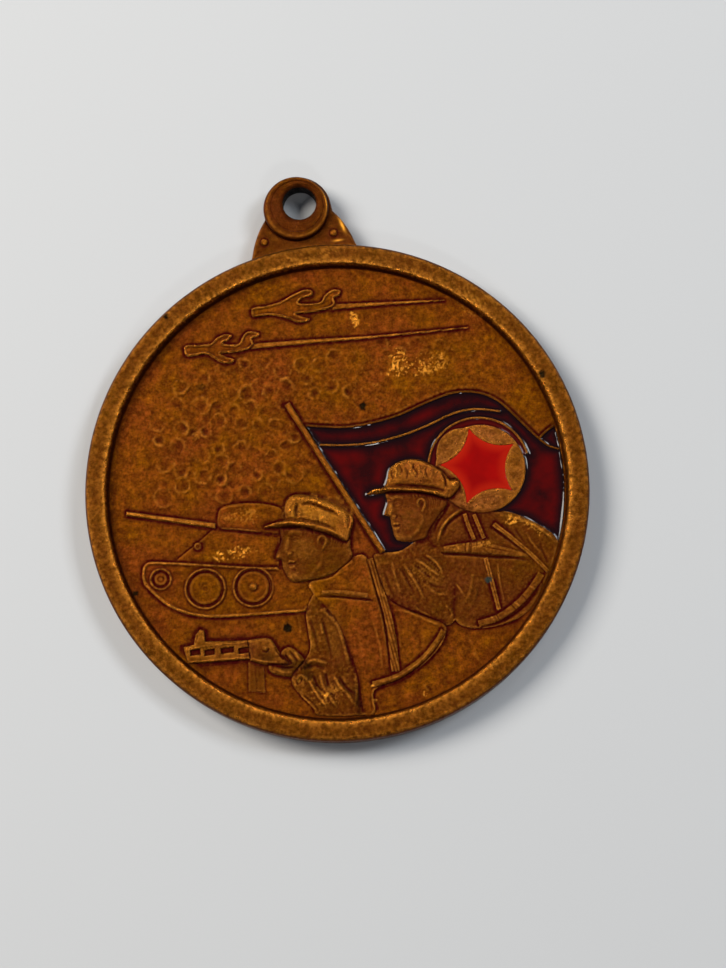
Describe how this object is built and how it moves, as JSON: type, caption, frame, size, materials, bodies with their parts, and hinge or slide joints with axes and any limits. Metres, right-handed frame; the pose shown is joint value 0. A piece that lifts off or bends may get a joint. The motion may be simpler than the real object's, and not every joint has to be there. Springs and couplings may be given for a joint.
{
  "type": "military service medal",
  "caption": "Struck bronze service medal with a raised rim, a relief of soldiers, tank and jets, a flag and star in red enamel, and a pierced suspension lug.",
  "frame": {"origin": "centre of the disc on its flat back face", "axes": "+Z out of the struck face, +Y from the disc's centre to the suspension lug, +X to the right of the scene"},
  "size_m": [0.036, 0.0414, 0.0021],
  "materials": {
    "bronze": "warm copper bronze, worn, with darker patina in the recesses",
    "rubbed_bronze": "the same bronze rubbed brighter on the high places",
    "dark_enamel": "glossy oxblood red enamel over bronze",
    "red_enamel": "glossy bright red enamel"
  },
  "bodies": {
    "root": {"struck_disc": "bronze", "suspension_lug": "bronze", "lug_collar": "bronze", "lug_studs": "bronze", "upper_jet": "bronze", "lower_jet": "bronze", "upper_contrail": "bronze", "lower_contrail": "bronze", "flagpole": "rubbed_bronze", "flag_border_wall": "rubbed_bronze", "flag_stripe_wall": "rubbed_bronze", "star_ring_wall": "rubbed_bronze", "star_disc": "bronze", "enamel_stripe": "dark_enamel", "enamel_field": "dark_enamel", "enamel_fold": "dark_enamel", "enamel_crescent": "red_enamel", "enamel_star": "red_enamel", "rear_cap": "rubbed_bronze", "rear_head": "bronze", "rear_torso": "bronze", "rear_sleeve": "bronze", "rear_straps": "bronze", "rear_bedroll": "rubbed_bronze", "rear_bandolier": "bronze", "front_cap": "rubbed_bronze", "front_head": "bronze", "front_torso": "bronze", "front_sleeve": "bronze", "front_hand": "bronze", "front_straps": "bronze", "front_bandolier": "bronze", "gun_barrel_shroud": "bronze", "gun_receiver": "bronze", "gun_magazine": "bronze", "tank_hull": "bronze", "tank_turret": "bronze", "tank_gun": "bronze", "tank_track": "bronze", "tank_wheels": "bronze", "tank_headlamp": "bronze"}
  },
  "joints": []
}
